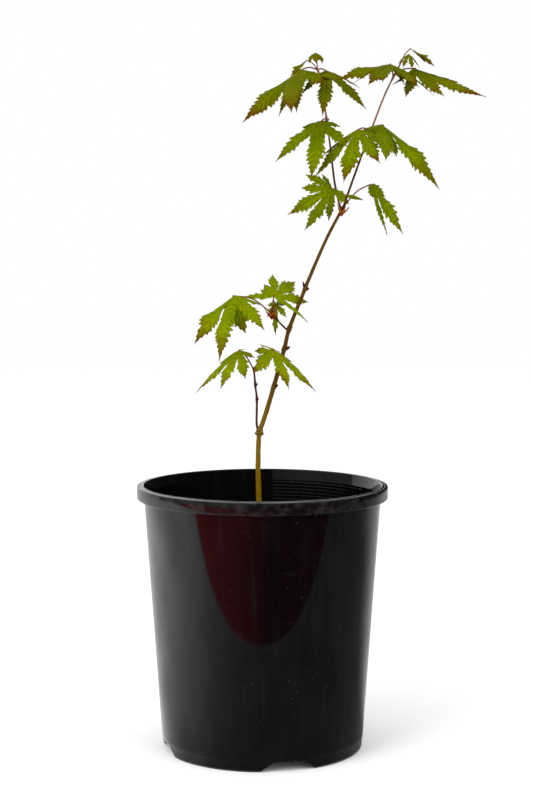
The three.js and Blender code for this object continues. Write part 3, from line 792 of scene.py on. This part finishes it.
def knob(place, radius, material):
    """A lumpy old scar."""
    bpy.ops.object.select_all(action="DESELECT")
    bpy.ops.mesh.primitive_ico_sphere_add(subdivisions=3, radius=1)
    piece = bpy.context.object
    piece.name = "knob"
    for vertex in piece.data.vertices:
        lump = 1 + 0.3 * noise.noise(vertex.co * 1.8 + Vector(place))
        vertex.co = (vertex.co * radius * lump + Vector(place)) * MM
    finish(piece, [material], slot="olive_bark")


def pointed_blade(name, start, aim, across, length, width, curl):
    """A narrow pointed sheet, hollowed along its middle and curling over its length."""
    start, aim, across = (np.array(v, float) for v in (start, aim, across))
    aim /= np.linalg.norm(aim)
    across -= aim * np.dot(across, aim)
    across /= np.linalg.norm(across)
    up = np.cross(aim, across)
    piece, row, col = sheet(name, 12, 6)
    c = 1 - 2 * col
    full = np.sin(np.pi * np.clip(row, 0, 1) ** 0.7) ** 0.9
    wide = width * full * (1 - 0.35 * row) + width * 0.12 * (1 - row)
    out = length * np.sin(curl * row) / curl
    lift = length * (1 - np.cos(curl * row)) / curl - 0.35 * wide * (1 - c**2)
    shape(piece, start + np.outer(out, aim) + np.outer(lift, up) + np.outer(c * wide, across))
    merge(piece, 0.001)
    place = np.array([v.co[:] for v in piece.data.vertices]) / MM - start
    along = np.clip(place @ aim / length, 0, 1)
    aside = np.clip(place @ across / width, -1, 1)
    maps(piece, {"LeafMap": np.stack([along, 0.5 + 0.5 * aside], 1)})
    modifier(piece, "SOLIDIFY", thickness=SCALE_THICKNESS * MM, offset=0)
    return piece


def spray(place, aim, count, length, material, rng):
    """Narrow scales that fan out round a bud, each a golden turn on from the last."""
    aim = np.array(aim, float)
    aim /= np.linalg.norm(aim)
    side = np.cross(aim, (0.0, 1.0, 0.0))
    side /= np.linalg.norm(side)
    other = np.cross(aim, side)
    scales = []
    for k in range(count):
        turn = k * GOLDEN_TURN
        outward = side * math.cos(turn) + other * math.sin(turn)
        lean = 0.25 + 0.55 * (k / count) + rng.uniform(-0.08, 0.08)
        reach = length * rng.uniform(0.55, 1.0)
        start = np.array(place, float) + outward + aim * rng.uniform(0, 2.0)
        direction = aim * math.cos(lean) + outward * math.sin(lean)
        scales.append(pointed_blade("scale", start, direction, np.cross(direction, outward), reach,
                                    rng.uniform(0.75, 1.15), rng.uniform(-0.5, 0.5)))
    finish(join(scales, "bud_scales"), [material], slot="red_bark")


def trimmings(knob_skin, bud_skin, scale_skin, bark, leaf_skin):
    """Buds, scars, sprays of scales with a red bud in each, and one small bract at the fork."""
    rng = np.random.default_rng(3)
    for start, aim, length, radius in BUDS:
        bud(start, aim, length, radius, bark)
    for place, radius in KNOBS:
        knob(place, radius, knob_skin)
    for place, aim, count, length in SPRAYS:
        spray(place, aim, count, length, scale_skin, rng)
        bud(np.array(place) - (0, 0, 0.6), aim, length * 0.6, 1.7, bud_skin)
    bract = pointed_blade("bract", (66.5, -0.5, 441), (1, -0.15, -0.16), (0.1, 0.5, 0.8),
                          length=14, width=1.9, curl=-0.35)
    finish(bract, [leaf_skin], slot=GREEN)


# ------------------------------------------------------------------ pot and soil
BAND = 10.5             # height of the rim's turned-down band
WALL = 1.5
FOOT_RADIUS, BODY_TOP_RADIUS, LIP_RADIUS = 80.3, 94.3, 95.4
FOOT_BAND, FOOT_INSET = 8.5, 0.4    # the foot is stepped in this far, up to this height
FLOOR_DISC = 50         # radius of the middle of the floor, which stands on the ground
CHANNEL = 8             # how high the floor is in the ring round it
NOTCHES, DRAINS = 4, 8
FIRST_TURN = 15         # degrees round to the first notch and the first drain hole
NOTCH_TOP, NOTCH_BOTTOM, NOTCH_HEIGHT = 12, 23.7, 8     # two half widths, and the height
NOTCH_INNER, NOTCH_OUTER, NOTCH_CORNER = 8, -4, 1.6     # from the foot's edge, and the corners
DRAIN_RADIUS, DRAIN_REACH = 4.5, 64     # a hole's radius, and its distance from the middle
SEGMENTS = 288          # round the pot
OUTSIDE_ROWS = 60       # the section's first rows, which are outside the pot
RIBS, RIB_DEPTH = 24, 0.32          # upright ribs inside
RIDGE_PITCH, RIDGE_DEPTH = 2.8, 0.14    # level ridges inside


def wall_radius(height):
    return FOOT_RADIUS + (BODY_TOP_RADIUS - FOOT_RADIUS) * height / (RIM_TOP - BAND)


def pot_profile():
    """Radius and height round the wall's section, from the middle of the base, outside first."""
    band_bottom = RIM_TOP - BAND
    foot, heel, ledge = wall_radius(0) - WALL, wall_radius(0) - FOOT_INSET, wall_radius(FOOT_BAND)
    band, mouth = RIM_RADIUS - WALL, wall_radius(RIM_TOP - 8) - WALL
    outside = [
        (0, 0), (FLOOR_DISC - 1, 0), (FLOOR_DISC, 0.3), (FLOOR_DISC + 1.3, CHANNEL - 0.5),
        (FLOOR_DISC + 2, CHANNEL), (foot - 3, CHANNEL), (foot - 2.2, CHANNEL - 0.6),
        (foot - FOOT_INSET, 0.3), (foot - FOOT_INSET + 0.3, 0), (heel - 1.0, 0), (heel - 0.35, 0.3),
        (wall_radius(1) - FOOT_INSET, 1.1), (ledge - FOOT_INSET, FOOT_BAND - 0.2),
        (ledge - FOOT_INSET * 0.6, FOOT_BAND), (wall_radius(FOOT_BAND + 0.3), FOOT_BAND + 0.35),
    ]
    outside += [(wall_radius(z), z) for z in np.linspace(12, band_bottom + 2, 40)]
    rim = [
        (wall_radius(RIM_TOP - 3), RIM_TOP - 3), (BODY_TOP_RADIUS + 1, RIM_TOP - 2),
        (band - 1, RIM_TOP - 2), (band, RIM_TOP - 3), (band, band_bottom + 0.8),
        (band + 0.2, band_bottom + 0.2), (RIM_RADIUS - WALL / 2, band_bottom),
        (RIM_RADIUS - 0.25, band_bottom + 0.3), (RIM_RADIUS, band_bottom + 1),
        (RIM_RADIUS, band_bottom + 5), (RIM_RADIUS, RIM_TOP - 1.5), (RIM_RADIUS - 0.25, RIM_TOP - 0.8),
        (RIM_RADIUS - 0.9, RIM_TOP - 0.5), (RIM_RADIUS - 2.5, RIM_TOP - 0.5),
        (LIP_RADIUS + 1.1, RIM_TOP - 0.45), (LIP_RADIUS + 0.6, RIM_TOP - 0.1), (LIP_RADIUS, RIM_TOP),
        (LIP_RADIUS - 0.5, RIM_TOP - 0.2), (LIP_RADIUS - 0.9, RIM_TOP - 0.9),
        (mouth + 0.1, RIM_TOP - 7.6), (mouth - 0.25, RIM_TOP - 8.4),
    ]
    inside = []
    z = RIM_TOP - 9
    while z > SOIL_TOP - 12:
        wave = math.cos(2 * math.pi * (z - RIM_TOP) / RIDGE_PITCH)
        ridge = RIDGE_DEPTH * (0.5 + 0.5 * wave) ** 3
        inside.append((wall_radius(z) - WALL - 0.25 - ridge, z))
        z -= RIDGE_PITCH / 6
    floor = CHANNEL + WALL
    inside += [(wall_radius(z) - WALL, z) for z in (140, 80, floor + 1)]
    inside += [(wall_radius(floor) - WALL - 0.8, floor), (FLOOR_DISC + 3, floor)]
    inside += [(FLOOR_DISC + 1, WALL), (0, WALL)]
    return np.array(outside + rim + inside)


def pot(material):
    """The moulding: its section spun round, with ribs inside, then notches and drain holes cut."""
    profile = pot_profile()
    rows = len(profile) - 1
    piece, row, col = sheet("pot_moulding", rows, SEGMENTS)
    step = np.rint(row * rows).astype(int)
    radius, height = profile[step, 0].copy(), profile[step, 1]
    turn = col * 2 * np.pi
    inner = (height < RIM_TOP - 8.2) & (height > SOIL_TOP - 14) & (step > OUTSIDE_ROWS)
    rib = np.maximum(0, np.cos(turn * RIBS)) ** 24 * RIB_DEPTH
    radius = radius - np.where(inner, rib * smoothstep(RIM_TOP - 8.4, RIM_TOP - 12, height), 0)
    # a thin-walled pot is never quite round: it is out by a fraction of a millimetre
    radius = radius * (1 + 0.0012 * np.cos(2 * turn + 0.7) * smoothstep(0, RIM_TOP, height))
    shape(piece, np.stack([radius * np.cos(turn), radius * np.sin(turn), height], 1))
    merge(piece, 0.01)
    for k in range(NOTCHES):
        cut(piece, notch_block(math.radians(FIRST_TURN + 360 / NOTCHES * k)))
    for k in range(DRAINS):
        cut(piece, drain_plug(math.radians(FIRST_TURN + 360 / DRAINS * k)))
    finish(piece, [material], "pot", slot="black_plastic")


def cut(piece, cutter):
    modifier(piece, "BOOLEAN", object=cutter, operation="DIFFERENCE", solver="EXACT")
    bpy.data.objects.remove(cutter, do_unlink=True)


def notch_block(angle):
    """A block through the foot, wide at the ground and narrow at the top, with soft corners."""
    bpy.ops.mesh.primitive_cube_add(size=1)
    block = bpy.context.object
    for vertex in block.data.vertices:
        top = vertex.co.z > 0
        x = math.copysign(NOTCH_TOP if top else NOTCH_BOTTOM, vertex.co.x)
        y = -FOOT_RADIUS + (NOTCH_INNER if vertex.co.y > 0 else NOTCH_OUTER)
        vertex.co = Vector((x, y, NOTCH_HEIGHT if top else -0.6)) * MM
    bpy.ops.object.mode_set(mode="EDIT")
    bpy.ops.mesh.select_mode(type="EDGE")
    bpy.ops.mesh.select_all(action="DESELECT")
    bpy.ops.object.mode_set(mode="OBJECT")
    mesh = block.data
    for edge in mesh.edges:
        one, two = (mesh.vertices[k].co for k in edge.vertices)
        edge.select = abs(one.y - two.y) > 5 * MM and one.z > 0
    bpy.ops.object.mode_set(mode="EDIT")
    bpy.ops.mesh.bevel(offset=NOTCH_CORNER * MM, segments=4)
    bpy.ops.object.mode_set(mode="OBJECT")
    block.rotation_euler.z = angle
    bpy.ops.object.transform_apply(rotation=True)
    return block


def drain_plug(angle):
    place = Vector((math.sin(angle) * DRAIN_REACH, -math.cos(angle) * DRAIN_REACH, CHANNEL + 0.7))
    bpy.ops.mesh.primitive_cylinder_add(
        vertices=24, radius=DRAIN_RADIUS * MM, depth=6 * MM, location=place * MM)
    return bpy.context.object


CHIPS = 1350
CHIP_SIZES = 0.8, 4.4   # half lengths: most are near the smaller
LUMP_HEIGHT, SUNK = 1.3, 0.6    # how uneven the mix is, and its level below the trunk's foot


def soil(material, chip_material):
    """Potting mix: an uneven top, closed below, with loose bark chips and crumbs on it."""
    rows, cols = 90, 144
    piece, row, col = sheet("soil_mix", rows, cols)
    step = np.rint(row * rows)
    turn = col * 2 * np.pi
    side = wall_radius(SOIL_TOP - 3) - WALL - 1.2
    profile_r = np.interp(step, [0, 6, 12, 18, rows], [0, FOOT_RADIUS - 6, FOOT_RADIUS - 4, side, 0])
    heights = [11, 11, 14, SOIL_TOP - 4, SOIL_TOP - 1.5, SOIL_TOP]
    profile_z = np.interp(step, [0, 6, 12, 18, 22, rows], heights)
    x, y = profile_r * np.cos(turn), profile_r * np.sin(turn)
    spots = [Vector((a * 0.09, b * 0.09, 3.0)) for a, b in zip(x, y)]
    lumps = np.array([noise.fractal(spot, 1.0, 2.0, 4) for spot in spots])
    centre = smoothstep(4, 16, profile_r)
    # the trunk's flat foot keeps its level: the mix is only uneven round it
    height = profile_z + np.where(step > 18, (lumps * LUMP_HEIGHT - SUNK) * centre, 0)
    shape(piece, np.stack([x, y, height], 1))
    merge(piece, 0.01)
    finish(piece, [material], "soil", slot="potting_mix")
    chips(chip_material, side)


def rotation(angle, first, second):
    """A matrix that turns rows of points in the plane of two axes."""
    made = np.eye(3)
    made[first, first] = made[second, second] = math.cos(angle)
    made[first, second], made[second, first] = math.sin(angle), -math.sin(angle)
    return made


def chips(material, side):
    """Flat, ragged bits of bark, mostly small, scattered over the soil within a radius."""
    rng = np.random.default_rng(7)
    bpy.ops.mesh.primitive_ico_sphere_add(subdivisions=1, radius=1)
    seed = bpy.context.object
    base = np.array([v.co[:] for v in seed.data.vertices])
    faces = np.array([f.vertices[:] for f in seed.data.polygons])
    bpy.data.objects.remove(seed, do_unlink=True)
    points, tris = [], []
    small, large = CHIP_SIZES
    for k in range(CHIPS):
        spread = side * math.sqrt(rng.uniform(0.002, 0.97))
        turn = rng.uniform(0, 2 * math.pi)
        size = small + (large - small) * rng.uniform() ** 2.4
        size += 2.5 if rng.uniform() < 0.03 else 0.0
        ragged = base * (1 + rng.uniform(-0.3, 0.3, (len(base), 1)))
        chip = ragged * size * np.array([1.0, rng.uniform(0.4, 0.8), rng.uniform(0.2, 0.45)])
        spin, tip = rng.uniform(0, 2 * math.pi), rng.uniform(-0.5, 0.5)
        chip = chip @ rotation(tip, 1, 2) @ rotation(spin, 0, 1)
        reach = min(spread, side - size - 1)
        place = (reach * math.cos(turn), reach * math.sin(turn), SOIL_TOP + rng.uniform(-1.0, 0.4))
        points.append(chip + np.array(place))
        tris.append(faces + k * len(base))
    mesh = bpy.data.meshes.new("bark_chips")
    mesh.from_pydata((np.vstack(points) * MM).tolist(), [], np.vstack(tris).tolist())
    piece = bpy.data.objects.new("bark_chips", mesh)
    bpy.context.collection.objects.link(piece)
    finish(piece, [material], slot="potting_mix")


# ------------------------------------------------------------------ stage
SHEET_EDGE = -0.35      # metres: where the white sheet ends in front
# The room that the gloss sees: each wall's two corners in metres, and how bright it is.
ROOM = [
    ("left_front_room", (-3.5, -2.6), (-0.5, -2.6), 0.3),
    ("left_room", (-3.5, -2.6), (-3.5, 1.0), 0.3),
    ("front_room", (-0.5, -2.6), (2.6, -2.6), 0.03),
    ("right_room", (2.6, -2.6), (2.6, 2.6), 0.03),
    ("right_back_room", (0.3, 2.6), (2.6, 2.6), 0.03),
]
ROOM_HEIGHT = 3.0
# Soft square lamps: where each stands and its watts.
LAMPS = {"key": ((-1.1, -1.2, 1.6), 22), "fill": ((1.2, -1.3, 1.0), 9)}
LAMP_SIZE = 1.2
LAMP_AIM = (0.02, 0, 0.3)


def stage():
    """A pale, level floor in even white light."""
    bpy.ops.mesh.primitive_plane_add(size=8, location=(0, 0, 0))
    floor = bpy.context.object
    floor.name = "floor"
    paint = Paint("pale_floor", Base_Color=srgb(254, 254, 254), Roughness=0.9, Specular_IOR_Level=0.1)
    floor.data.materials.append(paint.material)
    world = bpy.data.worlds.new("studio")
    bpy.context.scene.world = world
    world.use_nodes = True
    world.node_tree.nodes["Background"].inputs["Color"].default_value = (1, 1, 1, 1)
    world.node_tree.nodes["Background"].inputs["Strength"].default_value = 1.0


def only_in_gloss(made, paint, colour, strength):
    """Makes a stage object that only reflections see."""
    glow = paint.node("Emission", sockets={"Color": colour, "Strength": strength})
    paint.show(glow)
    made.data.materials.append(paint.material)
    made.visible_camera = made.visible_diffuse = made.visible_shadow = False
    made.visible_transmission = made.visible_volume_scatter = False


def floor_in_gloss():
    """What the gloss sees of the floor: bright at the left, with a painted shadow of the pot dimming it
    near the pot, dim in front, medium behind, and beyond the white sheet's front edge a dark room, red
    at the left."""
    bpy.ops.mesh.primitive_circle_add(vertices=64, radius=6, fill_type="NGON", location=(0, 0, 0.0015))
    made = bpy.context.object
    made.name = "floor_in_gloss"
    paint = Paint("floor_in_gloss")
    y = paint.axis("Y")
    # degrees round from the front, towards +X
    turn = paint.axis("X").math("ARCTAN2", y * -1) * math.degrees(1)
    left = (1 - turn.between(-110, 10)) * turn.between(-180, -120)
    right = turn.between(108, 140)
    behind = 1 - turn.between(-180, -130)
    # painted shadow: at the left the reflected floor is dimmer near the pot
    far = paint.reach().between(0.1, 0.6)
    sheet_light = 0.15 + left * (0.7 + far * 0.3) + (right + behind) * 0.5
    room = 1 - y.between(SHEET_EDGE, SHEET_EDGE + 0.012)
    red = 1 - turn.between(-42, 12)
    room_light = paint.blend(red, (0.085, 0.016, 0.02, 1), (0.62, 0.07, 0.095, 1))
    only_in_gloss(made, paint, paint.blend(room, (1, 1, 1, 1), room_light),
                  sheet_light * (1 - room) + room)


def wall_in_gloss(name, corner, far_corner, strength):
    """An upright card from one corner on the floor to another."""
    bpy.ops.mesh.primitive_plane_add(size=1)
    made = bpy.context.object
    made.name = name
    low, high = Vector(corner), Vector(far_corner)
    for vertex in made.data.vertices:
        end = high if vertex.co.x > 0 else low
        vertex.co = Vector((end.x, end.y, ROOM_HEIGHT if vertex.co.y > 0 else 0.0))
    only_in_gloss(made, Paint(name), (1, 1, 1, 1), strength)


def area_light(name, place, power):
    bpy.ops.object.light_add(type="AREA", location=place)
    lamp = bpy.context.object
    lamp.name = name
    lamp.data.shape = "SQUARE"
    lamp.data.size = LAMP_SIZE
    lamp.data.energy = power
    lamp.visible_glossy = False
    lamp.rotation_euler = (Vector(LAMP_AIM) - Vector(place)).to_track_quat("-Z", "Y").to_euler()


def lights():
    """Two lamps that gloss doesn't see, and a floor and room that only gloss sees."""
    for name, (place, power) in LAMPS.items():
        area_light(name, place, power)
    floor_in_gloss()
    for name, corner, far_corner, strength in ROOM:
        wall_in_gloss(name, corner, far_corner, strength)


# ------------------------------------------------------------------ making
camera()
stage()
lights()
looks = {(slot, tier): leaf_pair(slot, tier) for slot in (GREEN, TINTED) for tier in TIERS}
red_bark = bark_finish("bark_red", srgb(76, 30, 24), srgb(142, 100, 68), 455, 505, 0.4)
olive_bark = bark_finish("bark_olive", srgb(122, 94, 0), srgb(78, 52, 0), 225, 325)
looks["stalk"] = bark_finish("stalk_skin", srgb(112, 66, 8), srgb(116, 58, 22), 290, 550, 0.38)
bud_skin = bark_finish("bud_skin", srgb(122, 14, 2), srgb(134, 20, 6), 300, 440, 0.45)
knob_skin = bark_finish("knob_skin", srgb(122, 96, 44), srgb(84, 54, 16), 250, 345, 0.75)
pot(plastic_finish())
mix = soil_finish("potting_mix", srgb(34, 25, 20), srgb(60, 45, 34), srgb(74, 58, 44))
bark_bits = soil_finish("bark_chip", srgb(58, 40, 28), srgb(104, 76, 54), srgb(142, 112, 84))
soil(mix, bark_bits)
for node, spec in STEMS.items():
    stem(node, spec, olive_bark if spec["slot"] == "olive_bark" else red_bark)
trimmings(knob_skin, bud_skin, scale_finish(), red_bark, looks[GREEN, "fork"][0])
for seed, (node, spec) in enumerate(LEAVES.items()):
    leaf(node, spec, looks, seed)
